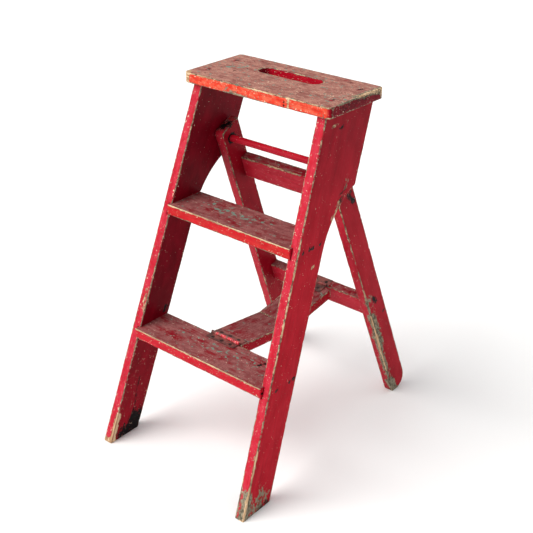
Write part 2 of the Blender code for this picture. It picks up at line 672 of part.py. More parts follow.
def build():
    clear_scene()
    paint = make_material("red_paint", (0.35, 0.05, 0.045), 0.55)
    metal = make_material("painted_hinge", (0.22, 0.07, 0.06), 0.5, 0.4)
    iron = make_material("bare_iron", (0.10, 0.09, 0.085), 0.6, 0.8)

    stiles = {name: build_stile(name, paint) for name in SIDES}
    legs = {name: build_rear_leg(name, paint) for name in SIDES}
    top_board = build_top_board(paint)
    middle_step = build_step("middle_tread", MIDDLE_STEP_Z, MIDDLE_STEP_Y, paint)
    lower_step = build_step("lower_tread", LOWER_STEP_Z, LOWER_STEP_Y, paint)
    upper_rail = build_rail("upper_rail", UPPER_RAIL_CORNER, UPPER_RAIL_HEIGHT, paint)
    lower_rail = build_rail("lower_rail", LOWER_RAIL_CORNER, LOWER_RAIL_HEIGHT, paint)
    front_board = build_stay_board("stay_front_board", stay_front_outline(), paint)
    rear_board = build_stay_board("stay_rear_board", stay_rear_outline(), paint)
    build_rod(paint)

    front_fixed, front_moving = build_front_hinge(lower_step, front_board, metal)
    middle_front, middle_rear = build_middle_hinge(front_board, rear_board, metal)
    rear_stay, rear_rail = build_rear_hinge(rear_board, lower_rail, metal)

    rail_nails = []
    for name in SIDES:
        nail_top(name, top_board, stiles[name], iron)
        nail_step("middle_tread", name, MIDDLE_STEP_Z, MIDDLE_STEP_NAILS_Y, stiles[name], middle_step, iron)
        nail_step("lower_tread", name, LOWER_STEP_Z, LOWER_STEP_NAILS_Y, stiles[name], lower_step, iron)
        rail_nails += nail_rail("upper_rail", name, UPPER_RAIL_CORNER, (0.012, 0.033), legs[name], upper_rail, iron)
        rail_nails += nail_rail("lower_rail", name, LOWER_RAIL_CORNER, (0.022,), legs[name], lower_rail, iron)

    rear_frame = add_pivot("rear_frame_pivot", PIVOT)
    stay_front = add_pivot("stay_front_pivot", FRONT_AXIS)
    stay_rear = add_pivot("stay_rear_pivot", MIDDLE_AXIS, stay_front)
    for piece in [*legs.values(), upper_rail, lower_rail, *rail_nails, *rear_rail]:
        follow(piece, rear_frame)
    for piece in [front_board, *front_moving, *middle_front]:
        follow(piece, stay_front)
    for piece in [rear_board, *middle_rear, *rear_stay]:
        follow(piece, stay_rear)


build()
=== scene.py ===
"""Looks of a folding step stool: worn red paint over softwood boards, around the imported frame.

Every wooden board is rebuilt here with worn arrises, grooves, holes and chips, and each takes its
place from the same sizes as the CAD. Hinges, screws and nails get worn paint and dull iron.
"""
import math

import bmesh
import bpy
from mathutils import Matrix, Vector, kdtree, noise


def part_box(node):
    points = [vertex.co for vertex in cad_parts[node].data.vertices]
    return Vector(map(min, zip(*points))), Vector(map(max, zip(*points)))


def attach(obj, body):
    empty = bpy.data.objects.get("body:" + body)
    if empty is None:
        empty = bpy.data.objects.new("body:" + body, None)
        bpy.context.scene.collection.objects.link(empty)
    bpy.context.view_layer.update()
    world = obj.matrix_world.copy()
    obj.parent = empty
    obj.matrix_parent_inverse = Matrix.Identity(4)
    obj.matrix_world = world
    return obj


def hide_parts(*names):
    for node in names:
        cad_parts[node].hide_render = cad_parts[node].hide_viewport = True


# Sizes shared with the CAD, in metres
HEIGHT = 0.645
GAP = 0.0003
SPLAY = 0.048                      # how far each side spreads outwards per metre of drop
LEAN = math.radians(21.0)          # lean of the rear legs
STILE_FOOT_HALF_WIDTH = 0.1705
STILE_THICKNESS = 0.0185
STILE_FRONT = (-0.2541, 0.3815)    # y at the floor, and y per metre of rise
LEG_BACK = (-0.1865, 0.3873)       # the same for the back of the leg
EAR_BACK = (-0.1339, 0.3922)       # and for the back of the ear
EAR_BOTTOM_Z = 0.4935
EAR_NOTCH = (0.0528, 0.4906)       # (y, z) of the inner end of the chamfer under the ear
CURVE_RADIUS = 0.154
CURVE_START_Z = 0.405
TOP_CORNER_RADIUS = 0.009
SLOT_CENTRE_Y = 0.0695
SLOT_HALF_LENGTH = 0.064
SLOT_HALF_WIDTH = 0.0143
STEP_THICKNESS = 0.019
STEPS = {                          # z of the top, y of the front and of the back
    "middle_tread": (0.4296, -0.0974, -0.0185),
    "lower_tread": (0.2146, -0.1813, -0.1043),
}
HOUSING_DEPTH = 0.006
END_GAP = 0.0014                   # the steps stop this far short of the bottom of their grooves
PIVOT = (0.0381, 0.5200)           # (y, z) of the rod's axis
ROD_RADIUS = 0.0063
ROD_SOCKET_DEPTH = 0.009
ROD_SOCKET_PLAY = 0.0005
REAR_LEG_HALF_WIDTH = 0.1494
REAR_LEG_THICKNESS = 0.0195
REAR_LEG_BORE = 0.0070
REAR_LEG_EDGES = (-0.0192, 0.0258)  # front and back edge, across the leg from the rod's axis
REAR_LEG_TOP = (0.0215, 0.0265)    # front and back corner of the top, along the leg above the rod
REAR_LEG_TOP_ROUND = 0.009
REAR_FOOT_ROUND = 0.0245
RAIL_THICKNESS = 0.0186
RAILS = {                          # top front corner, along and across the leg from the rod; height
    "upper_rail": (0.0497, 0.0072, 0.0450),
    "lower_rail": (0.3297, 0.0062, 0.0410),
}
RAIL_RECESS = (0.0228, 0.0016)     # half length and depth of the notch for the rear hinge
STAY_HALF_WIDTH = 0.0362
STAY_THICKNESS = 0.018
STAY_JOINT = (0.0290, 0.1970)
STAY_REAR_SLOPE = math.radians(8.9)
STAY_REAR_LENGTH = 0.1245
STAY_END_GAP = 0.0015
AXIS_HEIGHT = 0.0031               # hinge axes above the wood
FRONT_AXIS_GAP = 0.0013            # back of the lower tread to the front hinge's axis
NAIL_HOLE_RADIUS = 0.0026
TOP_NAIL_DEPTH = 0.0015
SIDE_NAIL_DEPTH = 0.0013

# Fineness of the boards' surface
STATION = 0.003                    # spacing of the cross-sections along a board
ARRIS = 0.0014                     # usual rounding of a worn arris
CHIP = 0.0045                      # how much more a chip takes off
EDGE_STEPS = (0.0, 0.0025, 0.006, 0.012)   # lines along each face, measured from its arrises
END_OFFSETS = (0.0003, 0.0008)     # extra sections close to the ends
THINNEST = 0.002                   # least depth of a section, where an outline comes to a point
LARGEST_ROUNDING = 0.45            # as a share of the side that it takes from
SLOT_LIP = 0.0022                  # rounding round the hand slot
LIP_PROFILE = ((0.0, 1.0), (0.15, 0.47), (0.5, 0.134), (1.0, 0.0))   # its depth and width, in parts
ROD_SIDES = 28

# Sections of the boards: strips across the four faces, and rounding of the four arrises
SECTIONS = {
    "stile": ((6, 1, 6, 1), (0.0020, 0.0013, 0.0013, 0.0020)),
    "step": ((5, 1, 5, 1), (0.0013, 0.0017, 0.0013, 0.0022)),
    "top_board": ((11, 1, 11, 1), (0.0022, 0.0018, 0.0015, 0.0022)),
    "rear_leg": ((3, 1, 3, 1), (0.0020, 0.0014, 0.0014, 0.0020)),
    "rail": ((1, 3, 1, 3), (0.0020, 0.0016, 0.0014, 0.0016)),
    "stay": ((5, 1, 5, 1), (0.0016, 0.0016, 0.0012, 0.0012)),
}

# Where each piece starts in the noise, so that no two are worn alike
SEEDS = {
    "stile_left": 2, "stile_right": 4, "top_board": 11, "middle_tread": 13, "lower_tread": 15,
    "pivot_rod": 17, "rear_leg_left": 20, "rear_leg_right": 22, "upper_rail": 31, "lower_rail": 33,
    "stay_front_board": 41, "stay_rear_board": 47,
}
GRAIN_SHIFT = (0.37, 0.21, 0.53)   # metres along, across and through the wood, per unit of seed

# Light and camera
FLOOR_REACH = 40
FLOOR_GREY = 0.86
WORLD_STRENGTH = 0.6
CAMERA_PLACE = (0.982, -1.1506, 1.1051)
CAMERA_AIM = (0.0975, -0.0872, 0.3899)
CAMERA_ROLL = 0.0030
CAMERA_LENS = 65.19                # millimetres, on a 36 mm sensor
CAMERA_SHIFT = (-0.0153, -0.0070)

SIDES = {"left": -1, "right": 1}


# ---------------------------------------------------------------- outlines seen from the side

def rotated(point, angle):
    """A (y, z) vector turned by an angle."""
    y, z = point
    return (y * math.cos(angle) - z * math.sin(angle), y * math.sin(angle) + z * math.cos(angle))


def from_line(origin, angle, along, above):
    """The (y, z) point a distance along a sloping line and a distance above it."""
    y, z = rotated((along, above), angle)
    return (origin[0] + y, origin[1] + z)


def arc(centre, radius, start, end, steps):
    """Points of a circular arc, both ends included."""
    points = []
    for i in range(steps + 1):
        angle = start + (end - start) * i / steps
        points.append((centre[0] + radius * math.cos(angle), centre[1] + radius * math.sin(angle)))
    return points


def rounded_corner(before, corner, after, radius, steps):
    """Arc that replaces a corner of an outline."""
    corner = Vector(corner)
    to_before = (Vector(before) - corner).normalized()
    to_after = (Vector(after) - corner).normalized()
    half = to_before.angle(to_after) / 2
    centre = corner + (to_before + to_after).normalized() * radius / math.sin(half)
    first = corner + to_before * radius / math.tan(half) - centre
    last = corner + to_after * radius / math.tan(half) - centre
    start = math.atan2(first.y, first.x)
    turn = (math.atan2(last.y, last.x) - start + math.pi) % (2 * math.pi) - math.pi
    return arc(centre, radius, start, start + turn, steps)


def on_rear_leg(down, backward):
    """The (y, z) point at distances from the rod along and across a rear leg."""
    return (PIVOT[0] + math.sin(LEAN) * down + math.cos(LEAN) * backward,
            PIVOT[1] - math.cos(LEAN) * down + math.sin(LEAN) * backward)


def stile_outline():
    """Straight front edge; at the back a leg, a sweep and a wide ear."""
    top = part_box("stile_left")[1][2]
    start = (LEG_BACK[0] + LEG_BACK[1] * CURVE_START_Z, CURVE_START_Z)
    centre = from_line(start, math.atan2(1, LEG_BACK[1]), 0, -CURVE_RADIUS)
    first = math.atan2(start[1] - centre[1], start[0] - centre[0])
    last = math.atan2(EAR_NOTCH[1] - centre[1], EAR_NOTCH[0] - centre[0])
    outline = [(STILE_FRONT[0], 0), (LEG_BACK[0], 0)]
    outline += arc(centre, CURVE_RADIUS, first, last, 24)
    outline.append((EAR_BACK[0] + EAR_BACK[1] * EAR_BOTTOM_Z, EAR_BOTTOM_Z))
    outline.append((EAR_BACK[0] + EAR_BACK[1] * top, top))
    outline.append((STILE_FRONT[0] + STILE_FRONT[1] * top, top))
    return outline


def rear_leg_outline():
    """A straight leg with a square-cut rounded top and a rounded back corner at the foot."""
    front, back = REAR_LEG_EDGES
    top_front = on_rear_leg(-REAR_LEG_TOP[0], front)
    top_back = on_rear_leg(-REAR_LEG_TOP[1], back)
    drop = PIVOT[1] / math.cos(LEAN)
    foot_front = on_rear_leg(drop + front * math.tan(LEAN), front)
    foot_back = on_rear_leg(drop + back * math.tan(LEAN), back)
    outline = [foot_front]
    outline += rounded_corner(foot_front, foot_back, top_back, REAR_FOOT_ROUND, 12)
    outline.append(top_back)
    outline += rounded_corner(top_back, top_front, foot_front, REAR_LEG_TOP_ROUND, 8)
    return outline


def span_at(outline, z):
    """Lowest and highest y where an outline crosses a height."""
    found = []
    for (y0, z0), (y1, z1) in zip(outline, outline[1:] + outline[:1]):
        if min(z0, z1) <= z <= max(z0, z1) and z0 != z1:
            found.append(y0 + (y1 - y0) * (z - z0) / (z1 - z0))
        elif z0 == z1 == z:
            found += [y0, y1]
    return min(found), max(found)


def stile_outer(z):
    """Distance of a stile's outer face from the middle plane, at a height."""
    return STILE_FOOT_HALF_WIDTH - SPLAY * z


def stile_inner(z):
    return stile_outer(z) - STILE_THICKNESS


def rear_leg_outer(z):
    """Distance of a rear leg's outer face from the middle plane, at a height."""
    return REAR_LEG_HALF_WIDTH - SPLAY * z


def rear_leg_inner(z):
    return rear_leg_outer(z) - REAR_LEG_THICKNESS


# ---------------------------------------------------------------- mesh making

def new_piece(name, builder, body, replaced):
    """Turn a finished bmesh into a piece that rides on a body and stands for a CAD node."""
    bmesh.ops.recalc_face_normals(builder, faces=builder.faces)
    mesh = bpy.data.meshes.new(name)
    builder.to_mesh(mesh)
    builder.free()
    piece = bpy.data.objects.new(name, mesh)
    bpy.context.scene.collection.objects.link(piece)
    if body:
        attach(piece, body)
        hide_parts(replaced)
    return piece


def skin(builder, rings):
    """Faces between rings of the same number of points, and over the first and the last ring."""
    loops = [[builder.verts.new(point) for point in ring] for ring in rings]
    for near, far in zip(loops, loops[1:]):
        for i in range(len(near)):
            j = (i + 1) % len(near)
            builder.faces.new((near[i], near[j], far[j], far[i]))
    builder.faces.new(loops[0])
    builder.faces.new(loops[-1])


def ring_points(corners, radii, inset, counts):
    """Points round a four-cornered section with rounded corners, always in the same number."""
    share = LARGEST_ROUNDING
    shrunk = []
    for k in range(4):
        to_next = (corners[(k + 1) % 4] - corners[k]).normalized()
        to_previous = (corners[k - 1] - corners[k]).normalized()
        shrunk.append(corners[k] + (to_next + to_previous) * inset)
    points = []
    for k in range(4):
        here, following = shrunk[k], shrunk[(k + 1) % 4]
        length = (following - here).length
        direction = (following - here) / length
        first = min(radii[k], length * share)
        last = length - min(radii[(k + 1) % 4], length * share)
        flat = last - first
        scale = min(1, flat / (2 * EDGE_STEPS[-1] + 0.002))
        offsets = [first + step * scale for step in EDGE_STEPS]
        low, high = offsets[-1], last - EDGE_STEPS[-1] * scale
        offsets += [low + (high - low) * i / counts[k] for i in range(1, counts[k])]
        offsets += [last - step * scale for step in reversed(EDGE_STEPS)]
        points += [here + direction * offset for offset in offsets]
        onwards = shrunk[(k + 2) % 4] - following
        start = following + direction * (last - length)
        end = following + onwards.normalized() * min(radii[(k + 1) % 4], onwards.length * share)
        for t in (1 / 3, 2 / 3):
            points.append(start * (1 - t) ** 2 + following * 2 * t * (1 - t) + end * t * t)
    return points


def arris_radius(base, distance, corner, seed):
    """Rounding of an arris at a place along it: worn unevenly, with a chip here and there."""
    wave = noise.noise(Vector((distance * 45, corner * 7.3, seed)))
    ripple = noise.noise(Vector((distance * 190, corner * 5.1, seed + 9)))
    chip = max(0, noise.noise(Vector((distance * 120, corner * 3.7, seed + 31))) - 0.30)
    return base * (1 + 0.55 * wave + 0.35 * ripple) + CHIP * chip


def loft(stations, section, seed, end_round=0.0015, worn_ends=True):
    """A closed board through sections; each station is (distance along, four corners).

    Returns the bmesh and points along its arrises, from which wear is measured later.
    """
    counts, bases = SECTIONS[section]
    builder = bmesh.new()
    first, last = stations[0][0], stations[-1][0]
    rings = []
    arrises = []
    for distance, corners in stations:
        from_end = min(distance - first, last - distance)
        lack = max(0, end_round - from_end)
        inset = end_round - math.sqrt(max(0, end_round ** 2 - lack ** 2))
        radii = [arris_radius(bases[k], distance, k, seed) for k in range(4)]
        rings.append(ring_points(corners, radii, inset, counts))
        arrises += corners
    # Smaller rings on the two ends keep the shading of their edges crisp
    caps = []
    for _, corners in (stations[0], stations[-1]):
        narrow = min((corners[k] - corners[k - 1]).length for k in range(4))
        caps.append(ring_points(corners, [0.0005] * 4, min(0.006, narrow * 0.35), counts))
        for k in range(4 if worn_ends else 0):
            steps = max(2, int((corners[k] - corners[k - 1]).length / STATION))
            arrises += [corners[k - 1].lerp(corners[k], i / steps) for i in range(steps)]
    skin(builder, [caps[0]] + rings + [caps[1]])
    return builder, arrises


def spaced(start, end, extra=()):
    """Distances from start to end about a station apart, closer together near both ends."""
    count = max(4, round((end - start) / STATION))
    places = {start + (end - start) * i / count for i in range(count + 1)}
    for offset in END_OFFSETS:
        places.update((start + offset, end - offset))
    places.update(place for place in extra if start < place < end)
    return sorted(places)


def between(start_corners, end_corners, length):
    """Stations of a straight board between two end sections."""
    stations = []
    for distance in spaced(0, length):
        t = distance / length
        stations.append((distance, [a.lerp(b, t) for a, b in zip(start_corners, end_corners)]))
    return stations


def side_board_stations(outline, side, outer, inner, extra=()):
    """Level sections of a board that is cut to an outline in side view."""
    low = min(z for y, z in outline)
    high = max(z for y, z in outline)
    stations = []
    for z in spaced(low, high, extra):
        y0, y1 = span_at(outline, z)
        if y1 - y0 < THINNEST:
            y0, y1 = (y0 + y1) / 2 - THINNEST / 2, (y0 + y1) / 2 + THINNEST / 2
        stations.append((z, [Vector((side * outer(z), y0, z)), Vector((side * outer(z), y1, z)),
                             Vector((side * inner(z), y1, z)), Vector((side * inner(z), y0, z))]))
    return stations


def cylinder(builder, origin, direction, radius, start, end, sides=20):
    """A plain round bar, for cutters."""
    direction = Vector(direction).normalized()
    across = direction.orthogonal().normalized()
    up = direction.cross(across)
    angles = [2 * math.pi * i / sides for i in range(sides)]
    skin(builder, [[Vector(origin) + direction * distance
                    + (across * math.cos(a) + up * math.sin(a)) * radius for a in angles]
                   for distance in (start, end)])


def subtract(piece, builder):
    """Cut a bmesh out of a piece, and leave nothing of the cutter behind."""
    cutter = new_piece("cutter", builder, None, None)
    modifier = piece.modifiers.new("cut", "BOOLEAN")
    modifier.object = cutter
    evaluated = piece.evaluated_get(bpy.context.evaluated_depsgraph_get())
    result = bpy.data.meshes.new_from_object(evaluated)
    piece.modifiers.clear()
    old = piece.data
    piece.data = result
    bpy.data.meshes.remove(old)
    old = cutter.data
    bpy.data.objects.remove(cutter)
    bpy.data.meshes.remove(old)


# ---------------------------------------------------------------- materials

def srgb(red, green, blue):
    """A colour given in screen values from 0 to 255, as linear light."""
    return tuple((v / 255 / 12.92) if v <= 10 else ((v / 255 + 0.055) / 1.055) ** 2.4
                 for v in (red, green, blue)) + (1.0,)


PAINT = {
    # The deep reds also serve as painted shade, orange and salmon partly as painted front light, rose partly
    # as a painted sheen, and the dirt black also as painted shade in gaps
    "deep": srgb(96, 2, 18),
    "deep_light": srgb(122, 4, 26),
    "red": srgb(172, 4, 28),
    "red_light": srgb(188, 22, 40),
    "rose_and_sheen": srgb(202, 64, 82),
    "orange_and_front_light": srgb(212, 56, 36),
    "salmon": srgb(224, 104, 76),
    "film": srgb(172, 122, 108),
    "film_dark": srgb(136, 84, 76),
    "film_red": srgb(144, 88, 86),
    "film_red_dark": srgb(120, 64, 64),
    "film_pit": srgb(70, 34, 32),
    "teal": srgb(104, 128, 116),
    "dirt_and_shade": srgb(16, 14, 15),
    "fleck": srgb(108, 96, 84),
    "green": srgb(140, 132, 112),
    "green_dark": srgb(82, 76, 62),
    "wood": srgb(214, 184, 148),
    "wood_dark": srgb(136, 94, 64),
    "cream": srgb(226, 206, 178),
}


class Shader:
    """Short calls for building a material's node tree."""

    def __init__(self, name):
        self.material = bpy.data.materials.new(name)
        self.material.use_nodes = True
        self.tree = self.material.node_tree
        self.surface = self.tree.nodes["Principled BSDF"]

    def connect(self, value, socket):
        if isinstance(value, bpy.types.NodeSocket):
            self.tree.links.new(value, socket)
        else:
            socket.default_value = value

    def node(self, kind, inputs=None, **settings):
        node = self.tree.nodes.new(kind)
        for key, value in settings.items():
            setattr(node, key, value)
        for key, value in (inputs or {}).items():
            self.connect(value, node.inputs[key])
        return node

    def attribute(self, name):
        return self.node("ShaderNodeAttribute", attribute_name=name)

    def parts(self, name):
        """The three numbers that a vector attribute carries."""
        return self.node("ShaderNodeSeparateXYZ", {0: self.attribute(name).outputs["Vector"]}).outputs

    def maths(self, operation, a, b, clamp=False):
        return self.node("ShaderNodeMath", {0: a, 1: b}, operation=operation, use_clamp=clamp).outputs[0]

    def inverse(self, value):
        return self.maths("SUBTRACT", 1.0, value)

    def total(self, *terms):
        result = terms[0]
        for term in terms[1:]:
            result = self.maths("ADD", result, term)
        return result

    def times(self, a, b):
        return self.maths("MULTIPLY", a, b)

    def vector(self, operation, a, b=(0, 0, 0)):
        return self.node("ShaderNodeVectorMath", {0: a, 1: b}, operation=operation).outputs

    def noise(self, coordinates, scale, detail, roughness):
        """Noise from 0 to 1, with its own number of waves per metre in each direction."""
        inputs = {"Vector": self.vector("MULTIPLY", coordinates, scale)[0], "Scale": 1.0,
                  "Detail": detail, "Roughness": roughness}
        return self.node("ShaderNodeTexNoise", inputs).outputs[0]

    def step(self, value, low, high):
        """0 below low, 1 above high, and smooth between them."""
        return self.node("ShaderNodeMapRange", {"Value": value, "From Min": low, "From Max": high},
                         interpolation_type="SMOOTHSTEP").outputs[0]

    def blend(self, factor, a, b):
        node = self.node("ShaderNodeMix", data_type="RGBA", clamp_factor=True)
        self.connect(factor, node.inputs[0])
        self.connect(a, node.inputs[6])
        self.connect(b, node.inputs[7])
        return node.outputs[2]

    def level(self, factor, a, b):
        node = self.node("ShaderNodeMix", data_type="FLOAT", clamp_factor=True)
        self.connect(factor, node.inputs[0])
        self.connect(a, node.inputs[2])
        self.connect(b, node.inputs[3])
        return node.outputs[0]

    def finish(self, colour, roughness, height, depth):
        bump = self.node("ShaderNodeBump", {"Height": height, "Distance": depth, "Strength": 1.0})
        self.connect(colour, self.surface.inputs["Base Color"])
        self.connect(roughness, self.surface.inputs["Roughness"])
        self.connect(bump.outputs[0], self.surface.inputs["Normal"])
        return self.material


def worn_red_paint():
    """Old red paint over a grey-green coat over bare softwood.

    The attribute "grain" runs along the board and "edge" is the distance from an arris. "wear" holds
    how bare each place is, how much grime and painted shade it has, and how faded it is. "coat"
    holds the painted light and shade on it as a tone (orange on fronts, partly painted front light and partly
    the paint's own orange; deep red as painted shade), how rubbed to green it is and how flecked.
    "stain" holds how much old green paint is splashed on it and how rosy it is, partly a painted
    sheen on fronts.
    """
    s = Shader("worn_red_paint")
    grain = s.attribute("grain").outputs["Vector"]
    edge = s.attribute("edge").outputs["Fac"]
    splashed, rosy_and_sheen = s.parts("stain")[:2]
    bare, grime_and_shade, fade = s.parts("wear")
    light_and_shade, rubbed, flecked = s.parts("coat")

    # Noise along the grain, from broad clouds to fine grit
    brush = s.noise(grain, (16, 420, 420), 5, 0.65)
    cloud = s.noise(grain, (22, 45, 45), 4, 0.6)
    patch = s.noise(grain, (60, 95, 95), 5, 0.7)
    chips = s.noise(grain, (130, 240, 240), 7, 0.75)
    islands = s.noise(grain, (26, 40, 40), 3, 0.6)
    specks = s.noise(grain, (300, 420, 420), 2.5, 0.6)
    drops = s.noise(grain, (120, 170, 170), 3, 0.5)
    grit = s.noise(grain, (700, 900, 900), 2, 0.6)
    arris = s.inverse(s.step(edge, 0.0, 0.0030))
    margin = s.inverse(s.step(edge, 0.0, 0.0085))

    # Where the paint is gone, down to the wood or to the green, and where it is flecked
    loss = s.total(s.times(chips, 0.62), s.times(islands, 0.42), s.times(arris, 0.17), s.times(bare, 0.45))
    wood_shows = s.step(loss, 0.72, 0.745)
    undercoat_shows = s.step(s.total(loss, s.times(rubbed, 0.32), s.times(arris, 0.06), 0.012), 0.71, 0.74)
    fleck_shows = s.step(s.total(specks, s.times(margin, 0.045), s.times(flecked, 0.07)), 0.708, 0.722)

    # The red coat, with painted light and shade by facing: deep red on sides painted in shade, and orange on
    # fronts, partly painted front light and partly the paint's own orange
    deep = s.blend(s.step(cloud, 0.3, 0.7), PAINT["deep"], PAINT["deep_light"])
    red = s.blend(s.step(cloud, 0.3, 0.7), PAINT["red"], PAINT["red_light"])
    # Rose on fronts, partly a painted sheen of the front light
    red = s.blend(s.times(rosy_and_sheen, s.level(s.step(patch, 0.35, 0.60), 0.2, 0.65)), red, PAINT["rose_and_sheen"])
    orange_and_front_light = s.blend(s.step(patch, 0.40, 0.62), PAINT["orange_and_front_light"], PAINT["salmon"])
    paint = s.blend(s.maths("MULTIPLY", light_and_shade, -1.0, True), red, deep)
    paint = s.blend(s.maths("MULTIPLY", light_and_shade, 1.0, True), paint, orange_and_front_light)
    paint = s.blend(s.times(s.step(brush, 0.40, 0.75), 0.35), paint, PAINT["deep"])

    # The brown film, the green splashes and the dark pits on faces that look up
    looks_up = s.step(fade, 0.1, 0.5)
    brown = s.step(fade, 0.82, 0.95)
    film = s.blend(s.step(s.total(s.times(patch, 0.6), s.times(brush, 0.4)), 0.42, 0.58),
                   s.blend(brown, PAINT["film_red_dark"], PAINT["film_dark"]),
                   s.blend(brown, PAINT["film_red"], PAINT["film"]))
    film = s.blend(s.times(s.step(grit, 0.56, 0.66), 0.55), film, PAINT["film_pit"])
    cover = s.total(s.times(cloud, 0.5), s.times(patch, 0.5), s.times(brush, 0.25), s.times(fade, 0.37))
    filmed = s.times(s.step(cover, 0.74, 0.92), looks_up)
    paint = s.blend(filmed, paint, film)
    splash = s.step(s.total(drops, s.times(fade, 0.06), s.times(splashed, 0.25)), 0.70, 0.72)
    paint = s.blend(s.times(splash, looks_up), paint, PAINT["teal"])
    pits = s.times(s.step(drops, 0.315, 0.295), looks_up)
    paint = s.blend(pits, paint, PAINT["film_pit"])
    # Black grime, and painted shade in gaps: round the rod, at the ends of the steps and on the left rear
    # leg's top
    dirt_and_shade = s.step(s.total(grime_and_shade, s.times(chips, 1.1), s.times(brush, 0.8), s.times(islands, 0.3)), 1.42, 1.50)
    paint = s.blend(dirt_and_shade, paint, PAINT["dirt_and_shade"])

    # All coats together
    green = s.blend(s.step(chips, 0.42, 0.58), PAINT["green_dark"], PAINT["green"])
    wood = s.blend(s.step(brush, 0.38, 0.66), PAINT["wood"], PAINT["wood_dark"])
    colour = s.blend(undercoat_shows, paint, green)
    colour = s.blend(wood_shows, colour, wood)
    colour = s.blend(s.times(dirt_and_shade, 0.85), colour, PAINT["dirt_and_shade"])
    fleck = s.blend(s.step(patch, 0.46, 0.54), PAINT["fleck"], PAINT["cream"])
    colour = s.blend(fleck_shows, colour, fleck)

    roughness = s.level(filmed, 0.40, 0.62)
    roughness = s.level(undercoat_shows, roughness, 0.75)
    height = s.total(s.times(undercoat_shows, -0.40), s.times(wood_shows, -0.30),
                     s.times(fleck_shows, -0.35), s.times(brush, 0.35), s.times(cloud, 0.9))
    s.surface.inputs["Specular IOR Level"].default_value = 0.05
    return s.finish(colour, roughness, height, 0.0006)


def worn_hinge(name, axis, rubbed):
    """Steel hinge under old paint, rubbed bright on the barrel round its axis."""
    s = Shader(name)
    place = s.node("ShaderNodeTexCoord").outputs["Object"]
    from_axis = s.vector("ADD", place, (0, -axis[0], -axis[1]))[0]
    radius = s.vector("LENGTH", s.vector("MULTIPLY", from_axis, (0, 1, 1))[0])["Value"]
    barrel = s.inverse(s.step(radius, 0.0028, 0.0036))
    cloud = s.noise(place, (60, 90, 90), 3, 0.6)
    scratch = s.noise(place, (700, 260, 260), 4, 0.7)
    painted = s.blend(s.step(cloud, 0.40, 0.60), srgb(88, 46, 44), srgb(142, 76, 70))
    painted = s.blend(s.times(s.step(scratch, 0.52, 0.62), 0.6), painted, srgb(88, 90, 80))
    bright = s.blend(s.step(scratch, 0.5, 0.6), srgb(188, 30, 46), srgb(222, 130, 130))
    streaks = s.step(s.noise(place, (75, 20, 20), 2, 0.5), 0.48, 0.53)
    colour = s.blend(s.times(s.times(barrel, rubbed), streaks), painted, bright)
    s.surface.inputs["Metallic"].default_value = 0.2
    s.surface.inputs["Specular IOR Level"].default_value = 0.3
    return s.finish(colour, 0.5, s.total(s.times(cloud, 0.5), s.times(scratch, 0.3)), 0.0004)


def dull_iron():
    """Nail heads with specks of paint and rust."""
    s = Shader("dull_iron")
    place = s.node("ShaderNodeTexCoord").outputs["Object"]
    grit = s.noise(place, (600, 600, 600), 4, 0.6)
    colour = s.blend(s.step(grit, 0.4, 0.6), srgb(26, 21, 21), srgb(70, 34, 30))
    s.surface.inputs["Metallic"].default_value = 0.5
    return s.finish(colour, s.level(grit, 0.5, 0.8), grit, 0.0003)
